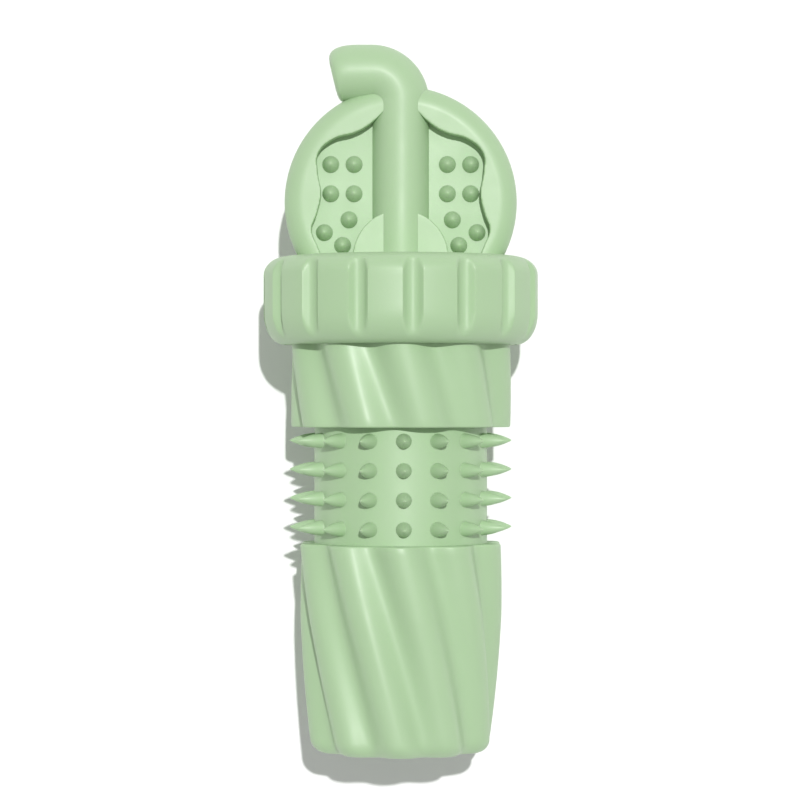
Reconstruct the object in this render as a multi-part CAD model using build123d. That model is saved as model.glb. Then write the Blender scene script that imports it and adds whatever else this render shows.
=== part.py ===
from build123d import *
import os
from math import cos, pi, sin, sqrt

# Cup-shaped chew toothbrush for a dog: a twisted cup with a bristled waist, closed by a
# grip ring that screws on, under a round dome with a bent straw.
# Millimetres. +Z runs up the cup's axis, and the origin is the centre of its flat base.
# -Y is the front face. The straw bends towards -X.

# ---- driving dimensions -------------------------------------------------------------
BOOT_TOP = 45.5          # top rim of the lower cup
SLEEVE_TOP = 70.8        # top of the bristled waist, where the collar starts
RING_BOTTOM = 88.8       # underside of the grip ring and top of the collar
RING_TOP = 108.0

LOBES = 10               # twisted flutes round the cup
LOBE_DEPTH = 2.4         # from the crest of a flute to its valley
TWIST = 0.813            # degrees of twist for each millimetre of height
CREST_AT_FRONT = 88.7    # height at which one crest faces the front
COLLAR_CRESTS = (24.0, 24.6)     # crest radius at the collar's bottom and at its top
BOOT_CRESTS = [(3.4, 20.3), (16.4, 21.2), (30.0, 22.1), (BOOT_TOP, 22.6)]
BOOT_CORNER = 3.4        # rounding of the base edge
CORNER_STEPS = 4         # sections of the twisted shape over that rounding,
WALL_STEPS = 8           # over the wall above it,
COLLAR_STEPS = 4         # and over the collar

SLEEVE_R = 18.9
SPIKE_ROWS = [49.0, 55.3, 61.6, 67.9]
SPIKES_PER_ROW = 16
SPIKE_TIP_R = 24.3
SPIKE_BASE_R = 1.6
SPIKE_MID_R = 1.25       # radius half-way out, which makes the bristle's sides swell
SPIKE_BLUNT = 0.15       # radius of the flat at a bristle's tip
SPIKE_SUNK = 1.2         # how far a bristle's root goes into the wall
SPIKE_SEAM = 37.0        # turn of a bristle on its own axis, which keeps its seam off the wall's
SPIKE_TURN = 2.0         # degrees that the front spike stands off the front

LINER_R = 16.0           # outside of the treat chamber
LINER_WALL = 1.6
LINER_BOTTOM = 2.6
SHOULDER_R = 20.6        # outside of the liner within the collar
SHOULDER_Z = 80.0
NECK_R = 23.8            # thread root
NECK_BORE_R = 21.6
NECK_TOP = 100.9
BEAD_R = 25.05           # bead that closes the gap under the ring
BEAD_TOP = 90.4

RING_R = 30.0
RING_TOP_ROUND = (5.0, 4.0)      # radial and upright size of the rounding at the ring's top
RING_BOTTOM_ROUND = (4.5, 6.6)   # and at its bottom, where the bore leaves less room
RING_BORE_R = 25.35      # thread root in the ring
GROOVES = 16
GROOVE_R = 2.0
GROOVE_DEPTH = 1.6
GROOVE_EDGE = 1.2
GROOVE_TURN = 5.0        # degrees from the front to the first groove
LIP_R = 23.0             # opening in the ring's top
LIP_THICK = 2.3
SNAP_R = 23.6            # bead under the lid's flange, which makes the ring carry the lid
SNAP_BOTTOM = 101.9
SNAP_TOP = 102.7
SNAP_LEAD_IN = 0.3       # height of the bevel on the bead's underside

LEAD = 6.0               # rise of the cap in one turn
STARTS = 2
THREAD_H = 1.2           # how far a thread stands from its root
THREAD_BASE = 1.3        # its width at the root
THREAD_TIP = 0.6
THREAD_ROOT_IN = 0.3     # how far a thread is sunk into its wall
NECK_THREAD_Z = 91.6
NECK_THREAD_RISE = 8.0
RING_THREAD_Z = 92.6
RING_THREAD_RISE = 7.5

FLANGE_R = 24.0
FLANGE_BOTTOM = 103.0
FLANGE_TOP = 105.4
LAND_R = 22.7
LAND_TOP = 107.7         # top of the lid, just under the ring's top
SEAL_IN_R = 20.8
SEAL_OUT_R = 23.2
SEAL_BOTTOM = 101.2

DISC_R = 25.4
DISC_Z = 119.9
DISC_HALF = 5.0          # half of the dome's thickness
DISC_ROUND = 4.0
BOSS_R = 10.4
TONGUE_X = 20.0
TONGUE_Y = 3.0
FOOT_X = 20.0
FOOT_Y = 4.2
WEB_HALF = 0.9           # half of the thickness of a pocket's floor

# Wavy edge of the right pocket, from the straw round to the lid, as (x, z).
POCKET_EDGE = [
    (3.0, 140.2), (6.9, 136.6), (9.8, 135.0), (14.9, 133.4), (18.0, 130.3), (18.1, 126.4),
    (17.4, 121.6), (18.3, 117.2), (19.4, 113.8), (18.2, 110.4), (17.0, LAND_TOP),
]
# Places of the nubs in the right pocket, as (x, z).
NUBS = [(10.2, 128.2), (15.3, 128.2), (10.2, 121.8), (15.3, 121.8),
        (11.3, 116.1), (16.7, 113.3), (12.7, 110.5)]
NUB_R = 1.8
NUB_H = 3.6              # from the pocket's floor to a nub's top

STRAW_R = 6.25
BEND_R = 6.35            # radius of the straw's centre line in its bend
BEND_Z = 141.9           # height at which the bend starts
TIP_RUN = 8.5            # straight run from the bend to the middle of the tip
TIP_SLANT = 12.0         # degrees that the tip's face leans from square
TIP_ROUND = 2.4
MOUTH_R = 3.0
MOUTH_DEPTH = 7.0

CUT = 1.0                # how far a cutting shape runs past the face that it cuts


def turned(outline):
    """Solid of revolution about Z of a closed outline of (radius, height) points."""
    return revolve(Plane.XZ * make_face(Polyline(*outline, close=True)), Axis.Z)


def lobed_section(z, crest):
    """Flat fluted section at height z, turned to its place in the twist."""
    turn = -90 + TWIST * (CREST_AT_FRONT - z)
    count = LOBES * 4
    points = []
    for k in range(count):
        radius = crest - LOBE_DEPTH * (0.5 - 0.5 * cos(2 * pi * k * LOBES / count))
        angle = 2 * pi * k / count
        points.append((radius * cos(angle), radius * sin(angle)))
    face = make_face(Spline(*points, periodic=True))
    return Pos(0, 0, z) * Rot(0, 0, turn) * face


def twisted(sections):
    """Twisted fluted solid through (height, crest radius) stations."""
    return loft([lobed_section(z, crest) for z, crest in sections])


def crest_at(z):
    """Crest radius of the lower cup, straight from station to station."""
    for (z0, r0), (z1, r1) in zip(BOOT_CRESTS, BOOT_CRESTS[1:]):
        if z <= z1:
            return r0 + (r1 - r0) * (z - z0) / (z1 - z0)
    return BOOT_CRESTS[-1][1]


def liner_outer(top):
    """Outside of the treat chamber, as a solid up to the given height."""
    return turned([(0, LINER_BOTTOM), (LINER_R, LINER_BOTTOM), (LINER_R, SLEEVE_TOP),
                   (SHOULDER_R, SHOULDER_Z), (SHOULDER_R, top), (0, top)])


def thread(radius, z, rise, outwards):
    """Right-hand helical ridges on the outside or the inside of a wall.

    An inside thread stands half a pitch off an outside one, so that the two mesh at rest.
    """
    way = 1 if outwards else -1
    root = radius - way * THREAD_ROOT_IN
    tip = radius + way * THREAD_H
    profile = [(root, -THREAD_BASE / 2), (tip, -THREAD_TIP / 2),
               (tip, THREAD_TIP / 2), (root, THREAD_BASE / 2)]
    face = Plane.XZ * make_face(Polyline(*profile, close=True))
    ridge = sweep(face, path=Helix(LEAD, rise, radius), is_frenet=True)
    shift = 0 if outwards else LEAD / STARTS / 2
    turn = 360 * (z - shift) / LEAD
    return [Pos(0, 0, z) * Rot(0, 0, turn + 360 * k / STARTS) * ridge for k in range(STARTS)]


def liner_cup():
    """Rigid treat chamber: closed bottom, shoulder, and the threaded neck."""
    neck = turned([(0, RING_BOTTOM), (BEAD_R, RING_BOTTOM), (BEAD_R, BEAD_TOP),
                   (NECK_R, BEAD_TOP), (NECK_R, NECK_TOP), (0, NECK_TOP)])
    inner = LINER_R - LINER_WALL
    upper = SHOULDER_R - LINER_WALL
    hollow = turned([(0, LINER_BOTTOM + LINER_WALL), (inner, LINER_BOTTOM + LINER_WALL),
                     (inner, SLEEVE_TOP), (upper, SHOULDER_Z), (upper, RING_BOTTOM),
                     (NECK_BORE_R, BEAD_TOP + CUT), (NECK_BORE_R, NECK_TOP + CUT),
                     (0, NECK_TOP + CUT)])
    body = liner_outer(RING_BOTTOM) + neck - hollow
    return body + thread(NECK_R, NECK_THREAD_Z, NECK_THREAD_RISE, True)


def base_boot():
    """Lower twisted cup: it covers the bottom of the liner and makes the flat base."""
    foot = []
    for step in range(CORNER_STEPS + 1):
        angle = pi / 2 * step / CORNER_STEPS
        height = BOOT_CORNER * (1 - cos(angle))
        inset = BOOT_CORNER * (1 - sin(angle))
        foot.append((height, BOOT_CRESTS[0][1] - inset))
    corner = loft([lobed_section(z, crest) for z, crest in foot], ruled=True)
    rise = (BOOT_TOP - BOOT_CORNER) / WALL_STEPS
    heights = [BOOT_CORNER + rise * k for k in range(WALL_STEPS + 1)]
    wall = twisted([(z, crest_at(z)) for z in heights])
    return corner + wall - liner_outer(BOOT_TOP)


def spike():
    """One bristle, pointing along +X from inside the sleeve's wall to its pointed tip."""
    middle = ((SLEEVE_R + SPIKE_TIP_R) / 2, SPIKE_MID_R)
    side = ThreePointArc((SLEEVE_R, SPIKE_BASE_R), middle, (SPIKE_TIP_R, SPIKE_BLUNT))
    root = SLEEVE_R - SPIKE_SUNK
    rest = Polyline((SPIKE_TIP_R, SPIKE_BLUNT), (SPIKE_TIP_R, 0), (root, 0), (root, SPIKE_BASE_R),
                    (SLEEVE_R, SPIKE_BASE_R))
    return Rot(SPIKE_SEAM, 0, 0) * revolve(make_face([side, rest]), Axis.X)


def bristle_sleeve():
    """Soft waist with four rows of bristles that brush the teeth."""
    sleeve = turned([(LINER_R, BOOT_TOP), (SLEEVE_R, BOOT_TOP), (SLEEVE_R, SLEEVE_TOP),
                     (LINER_R, SLEEVE_TOP)])
    one = spike()
    spikes = [Pos(0, 0, z) * Rot(0, 0, -90 + SPIKE_TURN + 360 * k / SPIKES_PER_ROW) * one
              for z in SPIKE_ROWS for k in range(SPIKES_PER_ROW)]
    return sleeve + spikes


def twist_collar():
    """Upper twisted shell, between the bristles and the grip ring."""
    rise = (RING_BOTTOM - SLEEVE_TOP) / COLLAR_STEPS
    low, high = COLLAR_CRESTS
    flare = (high - low) / COLLAR_STEPS
    sections = [(SLEEVE_TOP + rise * k, low + flare * k) for k in range(COLLAR_STEPS + 1)]
    return twisted(sections) - liner_outer(RING_BOTTOM)


def ring_envelope():
    """Turned envelope of the ring, with large elliptical roundings at its top and bottom."""
    top_in, top_down = RING_TOP_ROUND
    low_in, low_up = RING_BOTTOM_ROUND
    base = Polyline((RING_R - top_in, RING_TOP), (0, RING_TOP), (0, RING_BOTTOM),
                    (RING_R - low_in, RING_BOTTOM))
    low_arc = EllipticalCenterArc((RING_R - low_in, RING_BOTTOM + low_up), low_in, low_up,
                                  start_angle=270, arc_size=90)
    side = Line((RING_R, RING_BOTTOM + low_up), (RING_R, RING_TOP - top_down))
    top_arc = EllipticalCenterArc((RING_R - top_in, RING_TOP - top_down), top_in, top_down,
                                  start_angle=0, arc_size=90)
    return revolve(Plane.XZ * make_face([base, low_arc, side, top_arc]), Axis.Z)


def cap_ring():
    """Screw cap with grip pads outside, a thread inside and a lip over the lid."""
    rough = Circle(RING_R)
    grooves = [Rot(0, 0, -90 + GROOVE_TURN + 360 * k / GROOVES)
               * Pos(RING_R - GROOVE_DEPTH + GROOVE_R, 0) * Circle(GROOVE_R)
               for k in range(GROOVES)]
    plan = rough - grooves
    plan = fillet(plan.vertices(), GROOVE_EDGE)
    height = RING_TOP - RING_BOTTOM
    blank = Pos(0, 0, RING_BOTTOM) * extrude(plan, height)
    bore = turned([(0, RING_BOTTOM - CUT), (RING_BORE_R, RING_BOTTOM - CUT),
                   (RING_BORE_R, SNAP_BOTTOM), (SNAP_R, SNAP_BOTTOM + SNAP_LEAD_IN),
                   (SNAP_R, SNAP_TOP), (RING_BORE_R, SNAP_TOP),
                   (RING_BORE_R, RING_TOP - LIP_THICK), (LIP_R, RING_TOP - LIP_THICK),
                   (LIP_R, RING_TOP + CUT), (0, RING_TOP + CUT)])
    body = (blank & ring_envelope()) - bore
    return body + thread(RING_BORE_R, RING_THREAD_Z, RING_THREAD_RISE, False)


def seal_ring():
    """Flat gasket under the lid's flange, over the rim of the neck."""
    return turned([(SEAL_IN_R, SEAL_BOTTOM), (SEAL_OUT_R, SEAL_BOTTOM),
                   (SEAL_OUT_R, FLANGE_BOTTOM), (SEAL_IN_R, FLANGE_BOTTOM)])


def upright(radius, bottom, top):
    """Cylinder on the cup's axis."""
    return Pos(0, 0, (bottom + top) / 2) * Cylinder(radius, top - bottom)


def block(half_x, half_y, bottom, top):
    """Box centred on the cup's axis."""
    return Pos(0, 0, (bottom + top) / 2) * Box(2 * half_x, 2 * half_y, top - bottom)


def lid_plate():
    """Rigid plate that the ring's lip holds down, with a slot for the dome and the straw."""
    plate = turned([(0, FLANGE_BOTTOM), (FLANGE_R, FLANGE_BOTTOM), (FLANGE_R, FLANGE_TOP),
                    (LAND_R, FLANGE_TOP), (LAND_R, LAND_TOP), (0, LAND_TOP)])
    slot = block(TONGUE_X, TONGUE_Y, FLANGE_BOTTOM - CUT, LAND_TOP + CUT)
    return plate - slot - upright(STRAW_R, FLANGE_BOTTOM - CUT, LAND_TOP + CUT)


def crosswise(face, half):
    """Solid made of a flat outline in (x, z), as thick as half in front and half behind."""
    return Pos(0, half, 0) * extrude(Plane.XZ * face, 2 * half)


def pocket(side):
    """Flat outline of one pocket: side is 1 on the right and -1 on the left."""
    edge = [(side * x, z) for x, z in POCKET_EDGE]
    low = edge[-1][1]
    rest = Polyline(edge[-1], (side * STRAW_R / 2, low), edge[0])
    return make_face([Spline(*edge), rest])


def boss():
    """Half-round swelling of the dome round the foot of the straw."""
    half_round = make_face([Line((-BOSS_R, LAND_TOP), (BOSS_R, LAND_TOP)),
                            ThreePointArc((BOSS_R, LAND_TOP), (0, LAND_TOP + BOSS_R),
                                          (-BOSS_R, LAND_TOP))])
    return crosswise(half_round, DISC_HALF)


def disc():
    """Round dome with a rounded rim, cut off flat on the lid."""
    flat_r = DISC_R - DISC_ROUND
    flat_y = DISC_HALF - DISC_ROUND
    rim = [Polyline((flat_r, DISC_HALF), (0, DISC_HALF), (0, -DISC_HALF), (flat_r, -DISC_HALF)),
           RadiusArc((flat_r, -DISC_HALF), (DISC_R, -flat_y), -DISC_ROUND),
           Line((DISC_R, -flat_y), (DISC_R, flat_y)),
           RadiusArc((DISC_R, flat_y), (flat_r, DISC_HALF), -DISC_ROUND)]
    whole = Pos(0, 0, DISC_Z) * revolve(make_face(rim), Axis.Y)
    return whole & block(DISC_R + CUT, DISC_HALF + CUT, LAND_TOP, DISC_Z + DISC_R + CUT)


def straw_tip():
    """Place of the straw's slanted tip, with its local Z pointing out of the straw."""
    return Pos(-BEND_R - TIP_RUN, 0, BEND_Z + BEND_R) * Rot(0, -90 + TIP_SLANT, 0)


def straw_rod():
    """Bent straw before its mouth is cut: the room that it takes in the dome."""
    corner = (-BEND_R, 0, BEND_Z + BEND_R)
    end = (corner[0] - TIP_RUN - STRAW_R, 0, corner[2])
    path = Wire([Line((0, 0, FLANGE_BOTTOM), (0, 0, BEND_Z)), bend_arc(), Line(corner, end)])
    rod = sweep(Pos(0, 0, FLANGE_BOTTOM) * Circle(STRAW_R), path=path)
    beyond = Pos(0, 0, 2 * STRAW_R) * Box(6 * STRAW_R, 6 * STRAW_R, 4 * STRAW_R)
    rod = rod - straw_tip() * beyond
    return fillet(rod.edges().group_by(Axis.X)[0], TIP_ROUND)


def straw():
    """Bent straw that stands through the dome, with a shallow mouth in its slanted tip."""
    return straw_rod() - straw_tip() * Cylinder(MOUTH_R, 2 * MOUTH_DEPTH)


def bend_arc():
    """Quarter turn of the straw's centre line, from straight up to straight left."""
    middle = BEND_R * sqrt(0.5)
    return ThreePointArc((0, 0, BEND_Z), (middle - BEND_R, 0, BEND_Z + middle),
                         (-BEND_R, 0, BEND_Z + BEND_R))


def dome_disc():
    """Flexible dome: a round disc with two pockets, a boss, and a tongue through the lid."""
    tongue = block(TONGUE_X, TONGUE_Y, FLANGE_BOTTOM, LAND_TOP)
    foot = block(FOOT_X, FOOT_Y, SEAL_BOTTOM, FLANGE_BOTTOM)
    body = disc()
    for side in (1, -1):
        body = body - crosswise(pocket(side), DISC_HALF + CUT)
    body = body + boss() + tongue + foot
    return body - straw_rod()


def nub():
    """Round-topped nub that stands on a pocket's floor and points along +Z."""
    side = Line((NUB_R, -WEB_HALF / 2), (NUB_R, NUB_H - NUB_R))
    top = ThreePointArc((NUB_R, NUB_H - NUB_R),
                        (NUB_R * sqrt(0.5), NUB_H - NUB_R + NUB_R * sqrt(0.5)), (0, NUB_H))
    rest = Polyline((0, NUB_H), (0, -WEB_HALF / 2), (NUB_R, -WEB_HALF / 2))
    return revolve(Plane.XZ * make_face([side, top, rest]), Axis.Z)


def nub_panel(side):
    """Thin floor of one pocket, with nubs in front and behind."""
    panel = crosswise(pocket(side), WEB_HALF) - boss() - straw_rod()
    one = nub()
    for x, z in NUBS:
        panel = panel + Pos(side * x, -WEB_HALF, z) * Rot(90, 0, 0) * one
        panel = panel + Pos(side * x, WEB_HALF, z) * Rot(-90, 0, 0) * one
    return panel


PARTS = {
    "liner_cup": liner_cup(),
    "base_boot": base_boot(),
    "bristle_sleeve": bristle_sleeve(),
    "twist_collar": twist_collar(),
    "cap_ring": cap_ring(),
    "seal_ring": seal_ring(),
    "lid_plate": lid_plate(),
    "dome_disc": dome_disc(),
    "straw": straw(),
    "nub_panel_right": nub_panel(1),
    "nub_panel_left": nub_panel(-1),
}

os.makedirs("parts", exist_ok=True)
for name, shape in PARTS.items():
    export_step(shape, f"parts/{name}.step")
    print(name, len(shape.solids()), round(shape.volume), shape.is_valid)
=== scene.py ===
import math

import bmesh
import bpy
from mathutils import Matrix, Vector


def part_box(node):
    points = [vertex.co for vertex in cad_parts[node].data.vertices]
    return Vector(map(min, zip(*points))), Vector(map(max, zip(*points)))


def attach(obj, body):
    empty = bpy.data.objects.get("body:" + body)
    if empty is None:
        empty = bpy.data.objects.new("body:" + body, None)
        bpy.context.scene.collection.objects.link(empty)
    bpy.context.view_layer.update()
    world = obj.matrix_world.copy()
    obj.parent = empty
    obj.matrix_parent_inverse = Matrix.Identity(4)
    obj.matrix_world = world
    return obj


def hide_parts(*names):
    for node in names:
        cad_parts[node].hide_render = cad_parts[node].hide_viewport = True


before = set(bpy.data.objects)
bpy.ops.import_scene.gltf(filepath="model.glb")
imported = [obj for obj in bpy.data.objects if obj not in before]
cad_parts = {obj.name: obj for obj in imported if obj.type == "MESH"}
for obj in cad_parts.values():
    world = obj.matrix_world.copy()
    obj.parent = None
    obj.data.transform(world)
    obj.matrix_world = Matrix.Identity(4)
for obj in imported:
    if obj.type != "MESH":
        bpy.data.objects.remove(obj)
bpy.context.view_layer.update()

# Looks of a cup-shaped chew toothbrush: soft green rubber mouldings over a stiff liner.
# Sizes here are millimetres, turned to metres by MM where a mesh is made.
# Outer heights come from the CAD nodes' boxes. Wall radii and roundings are named beside them.

MM = 0.001


def span(node):
    """Lowest and highest corner of a CAD node, in millimetres."""
    low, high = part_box(node)
    return low / MM, high / MM


# ---- modelling helpers ---------------------------------------------------------------

def begin(name, primitive, **settings):
    """Adds a primitive, fixes its place in its mesh and opens it in edit mode."""
    bpy.ops.object.select_all(action="DESELECT")
    primitive(**settings)
    piece = bpy.context.object
    piece.name = name
    piece.data.name = name
    bpy.ops.object.transform_apply(location=True, rotation=True, scale=True)
    bpy.ops.object.mode_set(mode="EDIT")
    return piece


def pick(test, kind="VERT"):
    """Selects only the vertices, edges or faces that pass the test."""
    bpy.ops.mesh.select_mode(type=kind)
    bpy.ops.mesh.select_all(action="DESELECT")
    data = bpy.context.object.data
    mesh = bmesh.from_edit_mesh(data)
    for item in {"VERT": mesh.verts, "EDGE": mesh.edges, "FACE": mesh.faces}[kind]:
        if test(item):
            item.select_set(True)
    mesh.select_flush_mode()
    bmesh.update_edit_mesh(data)


def shut():
    """Closes edit mode, with doubles welded and faces turned outwards."""
    bpy.ops.mesh.select_mode(type="VERT")
    bpy.ops.mesh.select_all(action="SELECT")
    bpy.ops.mesh.remove_doubles(threshold=0.01 * MM)
    bpy.ops.mesh.normals_make_consistent(inside=False)
    bpy.ops.object.mode_set(mode="OBJECT")


def alone(piece):
    """Makes the piece the only selected object."""
    bpy.ops.object.select_all(action="DESELECT")
    piece.select_set(True)
    bpy.context.view_layer.objects.active = piece


def modify(piece, kind, **settings):
    """Adds a modifier with its settings and applies it."""
    alone(piece)
    modifier = piece.modifiers.new(kind.lower(), kind)
    for key, value in settings.items():
        setattr(modifier, key, value)
    bpy.ops.object.modifier_apply(modifier=modifier.name)


def carve(piece, tool, operation="DIFFERENCE"):
    """Cuts the tool out of the piece, or joins it on, and throws the tool away."""
    modify(piece, "BOOLEAN", object=tool, operation=operation, solver="EXACT")
    bpy.data.objects.remove(tool)


def finished(piece, body, material, slot, *nodes, crease=35):
    """Gives the piece its finish and hangs it on its CAD body in place of its CAD nodes."""
    alone(piece)
    bpy.ops.object.shade_smooth_by_angle(angle=math.radians(crease))
    piece.data.materials.clear()
    piece.data.materials.append(material)
    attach(piece, body)
    if nodes:
        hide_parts(*nodes)
    return piece


def select_tip(height):
    """Selects the open end of a shell at a height."""
    pick(lambda v: abs(v.co.z - height * MM) < 2e-6 and len(v.link_edges) < 4)


class Shell:
    """A ring of vertices round the cup's axis, drawn up level by level into a shell.

    Each lobe of the ring has the same number of vertices. A vertex's class is its place in
    its lobe, and all vertices of one class are at one radius.
    """

    def __init__(self, name, lobes, per_lobe, height, radii, turn=0.0):
        self.lobes = lobes
        self.per_lobe = per_lobe
        self.turn = turn
        self.height = height
        self.radii = [radii(0)] * per_lobe
        self.piece = begin(name, bpy.ops.mesh.primitive_circle_add, vertices=lobes * per_lobe,
                           radius=radii(0) * MM, fill_type="NOTHING",
                           location=(0, 0, height * MM), rotation=(0, 0, math.radians(turn)))
        self.shape(radii)

    def place(self, vertex):
        """Class of a vertex."""
        angle = math.atan2(vertex.co.y, vertex.co.x) - math.radians(self.turn)
        return round(angle * self.lobes * self.per_lobe / (2 * math.pi)) % self.per_lobe

    def shape(self, radii):
        """Moves the newest ring's vertices to the radii of their classes."""
        groups = {}
        for k, old in enumerate(self.radii):
            new = radii(k / self.per_lobe)
            groups.setdefault(round(new / old, 6), set()).add(k)
            self.radii[k] = new
        top = self.height * MM
        for scale, members in groups.items():
            if abs(scale - 1) < 1e-6:
                continue
            if len(groups) > 1:
                pick(lambda v: abs(v.co.z - top) < 2e-6 and len(v.link_edges) < 4
                     and self.place(v) in members)
            bpy.ops.transform.resize(value=(scale, scale, 1), center_override=(0, 0, top))
        select_tip(self.height)

    def rise(self, height, radii=None, turn=0.0):
        """Adds a ring at a new height, which always differs a little from the last."""
        step = height - self.height
        if abs(step) < 0.01:
            step = 0.01
        bpy.ops.mesh.extrude_region_move(TRANSFORM_OT_translate={"value": (0, 0, step * MM)})
        self.height += step
        if turn:
            bpy.ops.transform.rotate(value=-math.radians(turn), orient_axis="Z",
                                     center_override=(0, 0, self.height * MM))
            self.turn += turn
        if radii:
            self.shape(radii)

    def close(self):
        """Fills the newest ring and the first one with flat faces."""
        bpy.ops.mesh.edge_face_add()
        pick(lambda v: len(v.link_edges) < 4 and v.index < self.lobes * self.per_lobe)
        bpy.ops.mesh.edge_face_add()


def circle(radius):
    """Radii of a plain round ring."""
    return lambda phase: radius


def quarter(steps):
    """Sine and cosine of evenly spaced angles through a quarter turn."""
    return [(math.sin(math.pi / 2 * k / steps), math.cos(math.pi / 2 * k / steps))
            for k in range(steps + 1)]


# ---- twisted cup and collar ----------------------------------------------------------

LOBES = 10
PER_LOBE = 24
BOOT_DEPTH = 0.12        # depth of a valley as a share of the crest's radius
COLLAR_DEPTH = 0.105
VALLEY_POWER = 2.6       # 2 is an even wave, and more makes the valleys narrower
TWIST = 0.813            # degrees for each millimetre of height
CREST_AT_FRONT = 88.7    # height at which one crest faces the front
LINER_BORE = 16.05       # radius inside the boot, the sleeve and the collar's foot
NECK_BORE = 20.65        # radius inside the collar's top
NECK_FOOT = 80.0         # height where the wider bore starts to narrow to the other
LAP = 0.02               # height between rings that would otherwise be level


def fluted(crest, depth):
    """Radii of a smoothly fluted ring, with wide crests and narrower valleys."""
    return lambda phase: crest * (1 - depth * math.sin(math.pi * phase) ** VALLEY_POWER)


def crest_turn(height):
    """Direction of a crest at a height, in degrees from +X."""
    return -90 + TWIST * (CREST_AT_FRONT - height)


def climb(shell, depth, stations, step=1.5):
    """Draws a twisted shell up through (height, crest radius) stations."""
    for (low, r0), (high, r1) in zip(stations, stations[1:]):
        count = max(1, round((high - low) / step))
        for k in range(1, count + 1):
            share = k / count
            height = low + (high - low) * share
            turn = -TWIST * (height - shell.height)
            shell.rise(height, fluted(r0 + (r1 - r0) * share, depth), turn)


def make_boot(material):
    """Lower cup: rounded foot, tapering fluted wall and a flat rim round the bristles."""
    high = span("base_boot")[1]
    foot = 3.4
    edge = 0.45
    rim_width = 1.3
    recess = 1.5
    floor = 2.65
    waist_z, shoulder_z = 16.4, 30.0
    base, waist, shoulder, rim = 20.3, 21.2, 22.1, 22.6
    stations = [(foot, base), (waist_z, waist), (shoulder_z, shoulder), (high.z - edge, rim)]
    shell = Shell("base_boot_skin", LOBES, PER_LOBE, 0, fluted(base - foot, BOOT_DEPTH),
                  crest_turn(0))
    for down, out in quarter(7)[1:]:
        height = foot * (1 - out)
        shell.rise(height, fluted(base - foot * (1 - down), BOOT_DEPTH),
                   -TWIST * (height - shell.height))
    climb(shell, BOOT_DEPTH, stations)
    for up, back in quarter(3)[1:]:
        shell.rise(high.z - edge * (1 - up), fluted(rim - edge * (1 - back), BOOT_DEPTH))
    shell.rise(high.z, fluted(rim - rim_width, BOOT_DEPTH))
    shell.rise(high.z, circle(LINER_BORE))
    shell.rise(high.z - recess)
    shell.rise(floor)
    shell.close()
    shut()
    return finished(shell.piece, "cup", material, "soft_green", "base_boot")


def make_collar(material):
    """Upper fluted band between the bristles and the grip ring."""
    low, high = span("twist_collar")
    edge = 0.4
    foot_width = 2.2
    foot, crest = 24.0, 24.6
    shell = Shell("twist_collar_skin", LOBES, PER_LOBE, low.z + LAP, circle(LINER_BORE),
                  crest_turn(low.z))
    shell.rise(low.z + LAP / 2, fluted(foot - foot_width, COLLAR_DEPTH))
    shell.rise(low.z, fluted(foot - edge, COLLAR_DEPTH))
    for up, back in quarter(3)[1:]:
        shell.rise(low.z + edge * (1 - back), fluted(foot - edge * (1 - up), COLLAR_DEPTH))
    climb(shell, COLLAR_DEPTH, [(low.z + edge, foot), (high.z, crest)])
    shell.rise(high.z, circle(NECK_BORE))
    shell.rise(NECK_FOOT)
    # The last ring is turned a little, so that its vertices meet the first ring's.
    slip = (shell.turn - crest_turn(low.z)) % (360 / LOBES / PER_LOBE)
    shell.rise(low.z + LAP, circle(LINER_BORE), -slip)
    shut()
    return finished(shell.piece, "cup", material, "soft_green", "twist_collar")


# ---- bristled waist ------------------------------------------------------------------

SPIKE_ROWS = [49.0, 55.3, 61.6, 67.9]
SPIKES_IN_ROW = 16
SPIKE_SIDES = 16
SPIKE_TURN = 2.0         # degrees from the front to the first bristle
SLEEVE_LEVELS = 6


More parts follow.
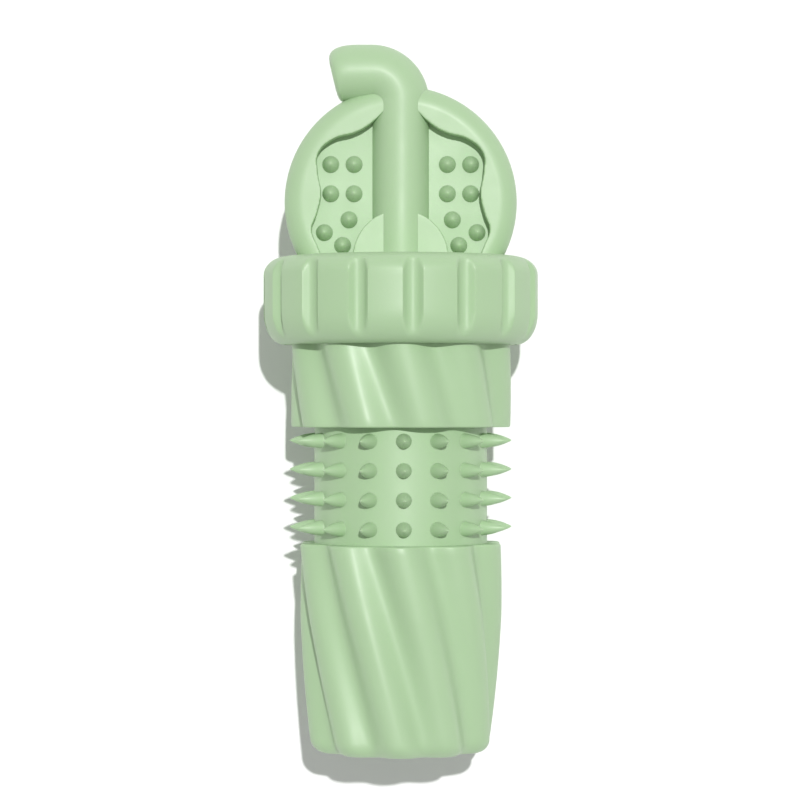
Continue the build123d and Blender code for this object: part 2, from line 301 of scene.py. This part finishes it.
def make_sleeve(material):
    """Waist with four rows of pointed bristles, each with a small flare at its root."""
    low, high = span("bristle_sleeve")
    radius = 18.9
    tip = high.x
    lead = 0.03
    shell = Shell("bristle_sleeve_skin", SPIKES_IN_ROW, 8, low.z + LAP, circle(LINER_BORE))
    shell.rise(low.z + LAP / 2, circle(radius))
    for k in range(1, SLEEVE_LEVELS + 1):
        shell.rise(low.z + (high.z - lead - low.z) * k / SLEEVE_LEVELS)
    shell.rise(high.z, circle(LINER_BORE))
    shell.rise(low.z + LAP)
    shut()
    # Distance from the cup's axis and radius, from the bristle's root to just under its point.
    profile = [(radius - 0.3, 1.8), (radius, 1.68), (radius + 0.4, 1.6), (radius + 1.2, 1.5),
               (radius + 2.1, 1.34), (radius + 3.0, 1.1), (radius + 3.8, 0.82), (radius + 4.5, 0.53),
               (radius + 5.0, 0.3), (radius + 5.25, 0.15)]
    spikes = begin("spikes", bpy.ops.mesh.primitive_circle_add, vertices=SPIKE_SIDES,
                   radius=profile[0][1] * MM, fill_type="NOTHING",
                   location=(0, -profile[0][0] * MM, SPIKE_ROWS[0] * MM),
                   rotation=(math.pi / 2, 0, 0))
    last_out, last_r = profile[0]
    for out, r in profile[1:]:
        bpy.ops.mesh.extrude_region_move(
            TRANSFORM_OT_translate={"value": (0, -(out - last_out) * MM, 0)})
        bpy.ops.transform.resize(value=(r / last_r,) * 3,
                                 center_override=(0, -out * MM, SPIKE_ROWS[0] * MM))
        last_out, last_r = out, r
    bpy.ops.mesh.extrude_region_move(
        TRANSFORM_OT_translate={"value": (0, -(tip - last_out) * MM, 0)})
    bpy.ops.mesh.merge(type="CENTER")
    bpy.ops.mesh.select_all(action="SELECT")
    bpy.ops.mesh.fill_holes(sides=SPIKE_SIDES)
    bpy.ops.transform.rotate(value=-math.radians(SPIKE_TURN), orient_axis="Z",
                             center_override=(0, 0, 0))
    for _ in range(SPIKES_IN_ROW - 1):
        bpy.ops.mesh.duplicate_move()
        bpy.ops.transform.rotate(value=-math.radians(360 / SPIKES_IN_ROW), orient_axis="Z",
                                 center_override=(0, 0, 0))
    bpy.ops.mesh.select_all(action="SELECT")
    for before, after in zip(SPIKE_ROWS, SPIKE_ROWS[1:]):
        bpy.ops.mesh.duplicate_move(
            TRANSFORM_OT_translate={"value": (0, 0, (after - before) * MM)})
    bpy.ops.mesh.select_all(action="SELECT")
    bpy.ops.mesh.normals_make_consistent(inside=False)
    bpy.ops.object.mode_set(mode="OBJECT")
    alone(shell.piece)
    spikes.select_set(True)
    bpy.ops.object.join()
    return finished(shell.piece, "cup", material, "soft_green", "bristle_sleeve")


# ---- grip ring -----------------------------------------------------------------------

GROOVES = 16
PER_GROOVE = 32
GROOVE_TURN = 5.0        # degrees from the front to the first groove


def grooved(radius, outer=30.0, cutter=2.0, depth=1.6, blend=0.45):
    """Radii of a ring with a rounded groove at phase 0, where the ring is wide enough."""
    def radii(phase):
        arc = 2 * math.pi * outer / GROOVES * min(phase, 1 - phase)
        centre = outer - depth + cutter
        if arc >= cutter:
            wall = centre + (arc - cutter) * 3
        else:
            wall = centre - math.sqrt(cutter ** 2 - arc ** 2)
        mix = max(0.0, min(1.0, 0.5 + 0.5 * (wall - radius) / blend))
        return wall + (radius - wall) * mix - blend * mix * (1 - mix)
    return radii


def make_ring(material):
    """Screw cap: rounded ring with narrow upright grooves, a lip, and a threaded bore."""
    low, high = span("cap_ring")
    outer = high.x
    foot_in, foot_up = 4.6, 6.8
    head_in, head_down = 5.1, 4.0
    bore = 25.35
    lip = 23.0
    lip_thick = 2.3
    lip_edge = 0.5
    snap = 23.6
    snap_top, snap_low, snap_end = 102.7, 102.2, 101.9
    mouth_up, mouth_out = 0.35, 0.15
    shell = Shell("cap_ring_skin", GROOVES, PER_GROOVE, low.z + mouth_up, circle(bore),
                  -90 + GROOVE_TURN)
    shell.rise(low.z, circle(bore + mouth_out))
    for down, out in quarter(10):
        shell.rise(low.z + 0.01 + foot_up * (1 - out), grooved(outer - foot_in * (1 - down)))
    plain = high.z - head_down - low.z - foot_up
    levels = 6
    for k in range(1, levels):
        shell.rise(low.z + foot_up + plain * k / levels, grooved(outer))
    for up, out in quarter(9):
        shell.rise(high.z - head_down * (1 - up), grooved(outer - head_in * (1 - out)))
    shell.rise(high.z - 0.03, circle(lip + 2.0))
    shell.rise(high.z - 0.05, circle(lip + lip_edge))
    for down, out in quarter(3)[1:]:
        shell.rise(high.z - 0.05 - lip_edge * (1 - out), circle(lip + lip_edge * (1 - down)))
    shell.rise(high.z - lip_thick)
    shell.rise(high.z - lip_thick, circle(bore))
    shell.rise(snap_top)
    shell.rise(snap_top, circle(snap))
    shell.rise(snap_low)
    shell.rise(snap_end, circle(bore))
    shell.rise(low.z + mouth_up)
    shut()
    thread = make_thread(bore)
    alone(shell.piece)
    thread.select_set(True)
    bpy.ops.object.join()
    return finished(shell.piece, "ring", material, "soft_green", "cap_ring")


LEAD = 6.0
STARTS = 2


def make_thread(radius):
    """Two helical ridges inside the ring, swept by a screw modifier from one profile."""
    sunk = 0.3
    height = 1.2
    base = 1.3
    tip = 0.6
    start = 92.6
    rise = 7.5
    shift = LEAD / STARTS / 2
    turns = rise / LEAD
    steps = round(96 * turns)
    middle = ((radius - (height - sunk) / 2) * MM, 0, start * MM)
    thread = begin("ring_thread", bpy.ops.mesh.primitive_plane_add, size=MM,
                   location=middle, rotation=(math.pi / 2, 0, 0))
    bpy.ops.transform.resize(value=(height + sunk, 1, base), center_override=middle)
    pick(lambda v: v.co.x < (radius - height + 0.1) * MM)
    bpy.ops.transform.resize(value=(1, 1, tip / base), center_override=(0, 0, start * MM))
    bpy.ops.mesh.select_all(action="SELECT")
    bpy.ops.mesh.delete(type="ONLY_FACE")
    bpy.ops.mesh.select_all(action="SELECT")
    bpy.ops.transform.rotate(value=-math.radians(360 * (start - shift) / LEAD), orient_axis="Z",
                             center_override=(0, 0, 0))
    bpy.ops.object.mode_set(mode="OBJECT")
    modify(thread, "SCREW", axis="Z", angle=2 * math.pi * turns, screw_offset=rise * MM,
           iterations=1, steps=steps, render_steps=steps, use_smooth_shade=False)
    bpy.ops.object.mode_set(mode="EDIT")
    bpy.ops.mesh.select_mode(type="VERT")
    bpy.ops.mesh.select_all(action="DESELECT")
    bpy.ops.mesh.select_non_manifold()
    bpy.ops.mesh.edge_face_add()
    bpy.ops.mesh.select_all(action="SELECT")
    bpy.ops.mesh.duplicate_move()
    bpy.ops.transform.rotate(value=math.pi, orient_axis="Z", center_override=(0, 0, 0))
    bpy.ops.mesh.select_all(action="SELECT")
    bpy.ops.mesh.normals_make_consistent(inside=False)
    bpy.ops.object.mode_set(mode="OBJECT")
    return thread


# ---- dome, pockets and straw ---------------------------------------------------------

DISC_Z = 119.9
WEB = 0.9
POCKET_EDGE = [
    (3.0, 140.2), (6.9, 136.6), (9.8, 135.0), (14.9, 133.4), (18.0, 130.3), (18.1, 126.4),
    (17.4, 121.6), (18.3, 117.2), (19.4, 113.8), (18.2, 110.4), (17.0, 107.6),
]
NUBS = [(10.2, 128.2), (15.3, 128.2), (10.2, 121.8), (15.3, 121.8),
        (11.3, 116.1), (16.7, 113.3), (12.7, 110.5)]
NUB_SIDES = 20
STRAW_R = 6.25
BEND_R = 6.35
BEND_Z = 141.9


def wavy_block(name, side, half):
    """Block with the outline of one pocket, as thick as half in front and half behind."""
    bpy.ops.object.select_all(action="DESELECT")
    bpy.ops.curve.primitive_bezier_curve_add(rotation=(math.pi / 2, 0, 0))
    outline = bpy.context.object
    outline.name = name
    curve = outline.data
    curve.dimensions = "2D"
    curve.fill_mode = "BOTH"
    curve.extrude = half * MM
    spline = curve.splines[0]
    spline.use_cyclic_u = True
    spline.resolution_u = 8
    points = POCKET_EDGE + [(STRAW_R / 2, POCKET_EDGE[-1][1])]
    spline.bezier_points.add(len(points) - 2)
    for point, (x, z) in zip(spline.bezier_points, points):
        point.co = (side * x * MM, z * MM, 0)
        point.handle_left_type = point.handle_right_type = "AUTO"
    for corner in (0, -2, -1):
        point = spline.bezier_points[corner]
        point.handle_left_type = point.handle_right_type = "VECTOR"
    bpy.ops.object.convert(target="MESH")
    bpy.ops.object.transform_apply(location=True, rotation=True, scale=True)
    bpy.ops.object.mode_set(mode="EDIT")
    shut()
    return outline


def make_dome(material):
    """Round dome with two wavy pockets cut through it and a half-round boss at its foot."""
    low = span("dome_disc")[0]
    land = span("lid_plate")[1].z
    disc_r = 25.4
    boss_r = 10.4
    half = 5.0
    rounding = 4.0
    tongue_wide, tongue_thick = 39.8, 5.8
    sunk = 0.5
    dome = begin("dome_disc_skin", bpy.ops.mesh.primitive_cylinder_add, vertices=192,
                 radius=disc_r * MM, depth=2 * half * MM, location=(0, 0, DISC_Z * MM),
                 rotation=(math.pi / 2, 0, 0))
    pick(lambda e: abs(e.verts[0].co.y - e.verts[1].co.y) < 1e-6, "EDGE")
    bpy.ops.mesh.bevel(offset=rounding * MM, segments=10, affect="EDGES")
    bpy.ops.mesh.select_all(action="SELECT")
    bpy.ops.mesh.bisect(plane_co=(0, 0, land * MM), plane_no=(0, 0, 1), clear_inner=True,
                        use_fill=True)
    shut()
    for side in (1, -1):
        carve(dome, wavy_block("pocket", side, half + 1))
    boss = begin("boss", bpy.ops.mesh.primitive_cylinder_add, vertices=96, radius=boss_r * MM,
                 depth=2 * half * MM, location=(0, 0, land * MM), rotation=(math.pi / 2, 0, 0))
    bpy.ops.mesh.select_all(action="SELECT")
    bpy.ops.mesh.bisect(plane_co=(0, 0, land * MM), plane_no=(0, 0, 1), clear_inner=True,
                        use_fill=True)
    shut()
    carve(dome, boss, "UNION")
    tongue = begin("tongue", bpy.ops.mesh.primitive_cube_add, size=MM,
                   location=(0, 0, (low.z + land + sunk) / 2 * MM),
                   scale=(tongue_wide, tongue_thick, land + sunk - low.z))
    shut()
    carve(dome, tongue, "UNION")
    modify(dome, "REMESH", mode="VOXEL", voxel_size=0.25 * MM)
    modify(dome, "SMOOTH", factor=0.5, iterations=3)
    return finished(dome, "lid", material, "soft_green", "dome_disc", crease=180)


def make_panel(name, side, material):
    """Floor of one pocket, with seven round nubs in front and seven behind."""
    panel = wavy_block(name + "_skin", side, WEB)
    # Distance from the floor's middle and radius, from the nub's root to just under its top.
    profile = [(0.75, 2.0), (0.9, 1.88), (1.15, 1.8), (1.6, 1.72), (2.2, 1.56), (2.8, 1.32),
               (3.4, 1.0), (3.9, 0.66), (4.25, 0.35), (4.4, 0.15)]
    x0, z0 = NUBS[0]
    out, radius = profile[0]
    nubs = begin("nubs", bpy.ops.mesh.primitive_circle_add, vertices=NUB_SIDES,
                 radius=radius * MM, fill_type="NOTHING",
                 location=(side * x0 * MM, -out * MM, z0 * MM), rotation=(math.pi / 2, 0, 0))
    for further, r in profile[1:]:
        bpy.ops.mesh.extrude_region_move(
            TRANSFORM_OT_translate={"value": (0, -(further - out) * MM, 0)})
        bpy.ops.transform.resize(value=(r / radius,) * 3,
                                 center_override=(side * x0 * MM, -further * MM, z0 * MM))
        out, radius = further, r
    top = 0.06
    bpy.ops.mesh.extrude_region_move(TRANSFORM_OT_translate={"value": (0, -top * MM, 0)})
    bpy.ops.mesh.merge(type="CENTER")
    last = NUBS[0]
    bpy.ops.mesh.select_all(action="SELECT")
    bpy.ops.mesh.fill_holes(sides=NUB_SIDES)
    for x, z in NUBS[1:]:
        bpy.ops.mesh.duplicate_move(TRANSFORM_OT_translate={
            "value": (side * (x - last[0]) * MM, 0, (z - last[1]) * MM)})
        last = (x, z)
    bpy.ops.mesh.select_all(action="SELECT")
    bpy.ops.mesh.duplicate_move()
    bpy.ops.transform.resize(value=(1, -1, 1), center_override=(0, 0, 0))
    bpy.ops.mesh.select_all(action="SELECT")
    bpy.ops.mesh.normals_make_consistent(inside=False)
    bpy.ops.object.mode_set(mode="OBJECT")
    alone(panel)
    nubs.select_set(True)
    bpy.ops.object.join()
    return finished(panel, "lid", material, "soft_green", name)


TIP_CHIN = (-12.5, 142.0)     # lower corner of the straw's tip, where it starts to round, as (x, z)
TIP_LOW = (-14.1, 144.3)      # lower end of the tip's slanted face
TIP_HIGH = (-15.6, 150.7)     # and its upper end
TIP_BROW = (-9.3, 154.5)      # where the straw's top starts to round
TIP_NARROW = 1.5              # how much the roundings narrow the tip on each side
MOUTH_R = 2.6
MOUTH_DEPTH = 7.0


def corner_route(start, stop, corner, steps):
    """Points of a smooth rounding from start to stop, pulled towards the corner."""
    for k in range(1, steps + 1):
        share = k / steps
        yield start * (1 - share) ** 2 + corner * 2 * share * (1 - share) + stop * share ** 2


def swing(ring, pivot, point, width):
    """Turns the open ring about one end of its height to reach a point with the other end."""
    reach = point - pivot if point.z > pivot.z else pivot - point
    angle = math.atan2(-reach.x, reach.z)
    bpy.ops.transform.rotate(value=angle - ring["angle"], orient_axis="Y",
                             center_override=pivot * MM)
    scale = reach.length / ring["height"]
    bpy.ops.transform.resize(value=(scale, width / ring["width"], scale),
                             center_override=pivot * MM)
    ring.update(angle=angle, height=reach.length, width=width)


def make_straw(material):
    """Bent straw with a slanted tip, rounded off at both its corners, and a shallow mouth."""
    low = span("straw")[0]
    straw = begin("straw_skin", bpy.ops.mesh.primitive_circle_add, vertices=64,
                  radius=STRAW_R * MM, fill_type="NOTHING", location=(0, 0, low.z * MM))
    levels = 12
    for _ in range(levels):
        bpy.ops.mesh.extrude_region_move(
            TRANSFORM_OT_translate={"value": (0, 0, (BEND_Z - low.z) / levels * MM)})
    bpy.ops.mesh.spin(steps=20, angle=math.pi / 2, center=(-BEND_R * MM, 0, BEND_Z * MM),
                      axis=(0, 1, 0))
    pick(lambda v: len(v.link_edges) < 4 and v.co.z > (BEND_Z - 0.2) * MM)
    chin, low_end, high_end, brow = (Vector((x, 0, z)) for x, z in
                                     (TIP_CHIN, TIP_LOW, TIP_HIGH, TIP_BROW))
    slope = (high_end.x - low_end.x) / (high_end.z - low_end.z)
    straight = brow.x + 0.3
    half = (straight + BEND_R) / 2
    for step in (half, half, chin.x - straight):
        bpy.ops.mesh.extrude_region_move(TRANSFORM_OT_translate={"value": (step * MM, 0, 0)})
    ring = {"angle": 0.0, "height": 2 * STRAW_R, "width": STRAW_R}
    swing(ring, chin, brow, STRAW_R)
    top_corner = Vector((high_end.x + slope * (brow.z - high_end.z), 0, brow.z))
    low_corner = Vector((low_end.x - slope * (low_end.z - chin.z), 0, chin.z))
    top_steps, low_steps = 10, 5
    for k, point in enumerate(corner_route(brow, high_end, top_corner, top_steps), 1):
        bpy.ops.mesh.extrude_region_move(TRANSFORM_OT_translate={"value": (0, 0, 0)})
        swing(ring, chin, point, STRAW_R - TIP_NARROW * 0.5 * (k / top_steps) ** 2)
    for k, point in enumerate(corner_route(chin, low_end, low_corner, low_steps), 1):
        bpy.ops.mesh.extrude_region_move(TRANSFORM_OT_translate={"value": (0, 0, 0)})
        swing(ring, high_end, point, STRAW_R - TIP_NARROW * (0.5 + 0.5 * k / low_steps))
    middle = (high_end + low_end) / 2
    way = Vector((-math.cos(ring["angle"]), 0, -math.sin(ring["angle"])))
    tall, wide = ring["height"] / 2, ring["width"]
    # Distance out along the tip, rounding left round the mouth, and share of the way in to it.
    rim = [(0.04, 0.3, 0.4), (0.05, 0.15, 0.8), (0.0, 0.05, 0.98), (-0.2, 0.0, 1.0),
           (-MOUTH_DEPTH, 0.0, 1.0)]
    out = 0.0
    for further, spare, share in rim:
        next_tall = MOUTH_R + (ring["height"] / 2 - MOUTH_R) * (1 - share) + spare * share
        next_wide = MOUTH_R + (ring["width"] - MOUTH_R) * (1 - share) + spare * share
        bpy.ops.mesh.extrude_region_move(
            TRANSFORM_OT_translate={"value": way * (further - out) * MM})
        bpy.ops.transform.resize(value=(next_tall / tall, next_wide / wide, next_tall / tall),
                                 center_override=(middle + way * further) * MM)
        out, tall, wide = further, next_tall, next_wide
    bpy.ops.mesh.edge_face_add()
    pick(lambda v: len(v.link_edges) < 4 and v.co.z < (low.z + 0.1) * MM)
    bpy.ops.mesh.edge_face_add()
    shut()
    return finished(straw, "lid", material, "soft_green", "straw")


def make_plate(material):
    """Lid plate under the dome: a stepped round plate, cut for the tongue and the straw."""
    low, high = span("lid_plate")
    flange = high.x
    flange_top = 105.4
    land = 22.7
    edge = 0.5
    break_edge = 0.2
    slot_wide, slot_thick = 40.0, 6.0
    cutter = 20.0
    plate = Shell("lid_plate_skin", 32, 4, low.z, circle(flange - break_edge))
    plate.rise(low.z + break_edge, circle(flange))
    plate.rise(flange_top - break_edge)
    plate.rise(flange_top, circle(flange - break_edge))
    plate.rise(flange_top, circle(land))
    for up, out in quarter(4):
        plate.rise(high.z - edge * (1 - up), circle(land - edge * (1 - out)))
    plate.close()
    shut()
    slot = begin("slot", bpy.ops.mesh.primitive_cube_add, size=MM,
                 scale=(slot_wide, slot_thick, cutter), location=(0, 0, low.z * MM))
    shut()
    carve(plate.piece, slot)
    hole = begin("hole", bpy.ops.mesh.primitive_cylinder_add, vertices=64,
                 radius=STRAW_R * MM, depth=cutter * MM, location=(0, 0, low.z * MM))
    shut()
    carve(plate.piece, hole)
    return finished(plate.piece, "lid", material, "lid", "lid_plate")


# ---- materials -----------------------------------------------------------------------

def linear(code):
    """Linear RGBA of an sRGB hex colour."""
    parts = [int(code[k:k + 2], 16) / 255 for k in (1, 3, 5)]
    return [c / 12.92 if c <= 0.04045 else ((c + 0.055) / 1.055) ** 2.4 for c in parts] + [1]


def add(tree, kind, inputs=(), **settings):
    """Adds a node, with its settings, and sets or links its inputs."""
    made = tree.nodes.new("ShaderNode" + kind)
    for key, value in settings.items():
        setattr(made, key, value)
    for key, value in dict(inputs).items():
        if isinstance(value, bpy.types.NodeSocket):
            tree.links.new(value, made.inputs[key])
        else:
            made.inputs[key].default_value = value
    return made


def blank(name):
    """New node material with an empty tree and an output."""
    material = bpy.data.materials.new(name)
    material.use_nodes = True
    tree = material.node_tree
    tree.nodes.clear()
    return material, tree, add(tree, "OutputMaterial")


def moulded(name, shade, tint, roughness, grain_mm, grain_depth, softness, ior=1.5):
    """Moulded soft plastic: a slow drift of shade, a fine mould grain and a satin surface."""
    material, tree, output = blank(name)
    place = add(tree, "TexCoord").outputs["Object"]
    drift = add(tree, "TexNoise", {"Vector": place, "Scale": 1 / (35 * MM), "Detail": 2.0})
    colour = add(tree, "Mix", {"Factor": drift.outputs["Fac"], "A": linear(shade),
                               "B": linear(tint)}, data_type="RGBA")
    grain = add(tree, "TexNoise", {"Vector": place, "Scale": 1 / (grain_mm * MM),
                                   "Detail": 3.0, "Roughness": 0.6})
    handled = add(tree, "TexNoise", {"Vector": place, "Scale": 1 / (9 * MM), "Detail": 4.0})
    rough = add(tree, "MapRange", {"Value": handled.outputs["Fac"], "From Min": 0.3,
                                   "From Max": 0.7, "To Min": roughness - 0.05,
                                   "To Max": roughness + 0.05})
    bump = add(tree, "Bump", {"Height": grain.outputs["Fac"], "Distance": grain_depth * MM,
                              "Strength": 0.5})
    surface = add(tree, "BsdfPrincipled", {
        "Base Color": colour.outputs["Result"], "Roughness": rough.outputs["Result"],
        "Normal": bump.outputs["Normal"], "IOR": ior,
        "Subsurface Weight": softness, "Subsurface Radius": (1.0, 1.3, 0.8),
        "Subsurface Scale": 1.2 * MM, "Coat Weight": 0.05, "Coat Roughness": 0.25})
    tree.links.new(surface.outputs["BSDF"], output.inputs["Surface"])
    return material


def paper(name, shade):
    """White paper sweep that can't be seen from behind."""
    material, tree, output = blank(name)
    side = add(tree, "NewGeometry")
    front = add(tree, "BsdfDiffuse", {"Color": linear(shade)})
    back = add(tree, "BsdfTransparent")
    mixed = add(tree, "MixShader", {0: side.outputs["Backfacing"], 1: front.outputs[0],
                                    2: back.outputs[0]})
    tree.links.new(mixed.outputs[0], output.inputs["Surface"])
    return material


# Soft TPR moulding: pastel green, satin, with a fine spark-eroded grain from its mould.
green_rubber = moulded("pastel_tpr_rubber", "#A9C79D", "#ADC9A1", 0.46, 0.5, 0.02, 0.15)
# Polypropylene liner and lid: a slightly lighter green, harder and a little glossier.
liner_plastic = moulded("green_polypropylene", "#B4CDA6", "#B9D0AB", 0.42, 0.6, 0.01, 0.05, 1.49)
# Silicone gasket: milky and matt.
seal_silicone = moulded("milky_silicone", "#DADFD3", "#E2E6DC", 0.55, 0.6, 0.01, 0.3, 1.41)

make_boot(green_rubber)
make_collar(green_rubber)
make_sleeve(green_rubber)
make_ring(green_rubber)
make_dome(green_rubber)
make_panel("nub_panel_right", 1, green_rubber)
make_panel("nub_panel_left", -1, green_rubber)
straw = make_straw(green_rubber)
make_plate(liner_plastic)

for node, material in (("liner_cup", liner_plastic), ("seal_ring", seal_silicone)):
    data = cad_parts[node].data
    data.materials.clear()
    data.materials.append(material)


# ---- backdrop, light and camera ------------------------------------------------------

SWEEP_BEHIND = 33.3      # distance from the cup's axis to the sheet behind it
EYE_HEIGHT = 76.7
EYE_AWAY = 679.0
EYE_SIDE = -0.15

bpy.ops.mesh.primitive_plane_add(size=3.0, location=(0, SWEEP_BEHIND * MM, EYE_HEIGHT * MM),
                                 rotation=(math.pi / 2, 0, 0))
sweep = bpy.context.object
sweep.name = "sweep"
sweep.data.materials.append(paper("white_paper", "#FAFAFA"))

world = bpy.data.worlds.new("studio")
bpy.context.scene.world = world
world.use_nodes = True
sky = world.node_tree
sky.nodes.clear()
ray = add(sky, "LightPath")
glow = add(sky, "Background", {"Color": (1, 1, 1, 1), "Strength": 0.42})
seen = add(sky, "Background", {"Color": (1, 1, 1, 1), "Strength": 1.0})
both = add(sky, "MixShader", {0: ray.outputs["Is Camera Ray"], 1: glow.outputs[0],
                              2: seen.outputs[0]})
sky.links.new(both.outputs[0], add(sky, "OutputWorld").inputs["Surface"])

bpy.ops.object.light_add(type="SUN")
key = bpy.context.object
key.name = "key"
key.data.energy = 2.4
key.data.angle = math.radians(1.0)
key.rotation_mode = "QUATERNION"
key.rotation_quaternion = Vector((-0.078, 1.0, -0.236)).to_track_quat("-Z", "Y")

# The key passes through the straw, which so throws no shadow on the sheet or the dome.
shadowless = bpy.data.collections.new("shadowless")
shadowless.objects.link(straw)
key.light_linking.blocker_collection = shadowless
shadowless.collection_objects[0].light_linking.link_state = "EXCLUDE"

bpy.ops.object.camera_add(location=(EYE_SIDE * MM, -EYE_AWAY * MM, EYE_HEIGHT * MM),
                          rotation=(math.pi / 2, 0, 0))
camera = bpy.context.object
camera.data.lens = 139.5
camera.data.sensor_width = 36
camera.data.clip_start = 0.01
bpy.context.scene.camera = camera
bpy.context.scene.view_settings.view_transform = "Standard"
